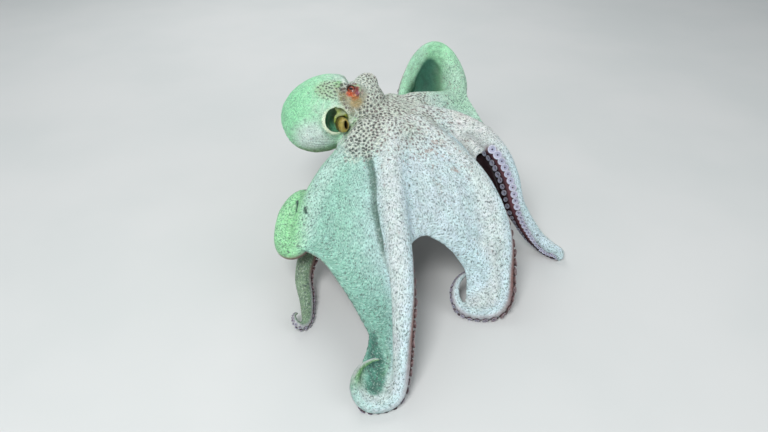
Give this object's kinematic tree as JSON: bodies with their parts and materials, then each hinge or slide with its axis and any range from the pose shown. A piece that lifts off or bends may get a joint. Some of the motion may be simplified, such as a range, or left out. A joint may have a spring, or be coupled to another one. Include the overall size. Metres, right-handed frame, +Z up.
{
  "type": "octopus",
  "caption": "Life-size common octopus standing on spread arms with the web stretched between them, mantle behind the head and one arm raised in a loop",
  "frame": {"origin": "on the floor under the middle of the animal's overall box", "axes": "+Z up; the head looks along +X and a little towards -Y, the mantle hangs towards -X, and the animal's right side faces -Y"},
  "size_m": [0.4574, 0.7432, 0.2571],
  "materials": {
    "skin": "satin",
    "funnel_lining": "satin",
    "eye": "gloss"
  },
  "bodies": {
    "root": {"eye_right": "eye", "eye_left": "eye", "head": "skin", "funnel": "funnel_lining", "mantle": "skin", "crown": "skin", "arm_l2_base": "skin", "arm_l2_middle": "skin", "arm_l2_tip": "skin", "arm_l1_base": "skin", "arm_l1_middle": "skin", "arm_l1_tip": "skin", "arm_r1_base": "skin", "arm_r1_middle": "skin", "arm_r1_tip": "skin", "arm_r2_base": "skin", "arm_r2_middle": "skin", "arm_r2_tip": "skin", "arm_r3_base": "skin", "arm_r3_middle": "skin", "arm_r3_tip": "skin", "arm_r4_base": "skin", "arm_r4_middle": "skin", "arm_r4_tip": "skin", "arm_l4_base": "skin", "arm_l4_middle": "skin", "arm_l4_tip": "skin", "arm_l3_base": "skin", "arm_l3_middle": "skin", "arm_l3_tip": "skin", "web_l2_l1": "skin", "web_l1_r1": "skin", "web_r1_r2": "skin", "web_r2_r3": "skin", "web_r3_r4": "skin", "web_r4_l4": "skin", "web_l4_l3": "skin", "web_l3_l2": "skin"}
  },
  "joints": []
}
